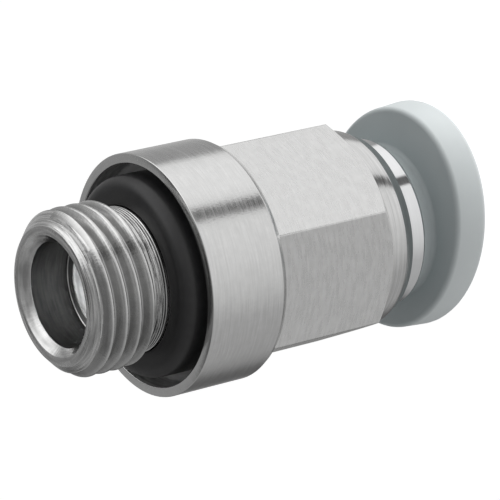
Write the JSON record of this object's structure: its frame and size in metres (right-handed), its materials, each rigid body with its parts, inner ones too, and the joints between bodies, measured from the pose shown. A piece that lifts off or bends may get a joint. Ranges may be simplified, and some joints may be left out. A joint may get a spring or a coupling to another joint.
{
  "type": "straight push-in connector",
  "caption": "Straight male push-in connector: parallel pipe thread with face seal, collar, hexagon, polished guide ring and oval release button.",
  "frame": {"origin": "centre of the release button's flat outer face, on which the connector stands", "axes": "+Z along the common axis towards the thread end; +X along the long axis of the oval button, square to a flat of the hexagon"},
  "size_m": [0.015, 0.0142, 0.026],
  "materials": {
    "nickel_plated_brass": "nickel-plated, turned and milled, satin bright",
    "polished_steel": "polished stainless steel",
    "spring_steel": "pressed stainless spring steel",
    "seal_rubber": "black nitrile rubber, soft sheen",
    "grey_acetal": "light grey moulded acetal, satin",
    "white_acetal": "natural white acetal"
  },
  "bodies": {
    "fitting": {"body": "nickel_plated_brass", "thread_seal": "seal_rubber", "tube_seal": "seal_rubber", "backup_ring": "white_acetal", "chuck": "spring_steel", "guide_ring": "polished_steel"},
    "button": {"release_button": "grey_acetal"}
  },
  "joints": [
    {"name": "release_press", "type": "slide", "parent": "fitting", "child": "button", "axis": [0, 0, 1], "range_m": [0, 0.001], "stiffness_N_per_m": 2000, "deforming": ["chuck"]}
  ]
}
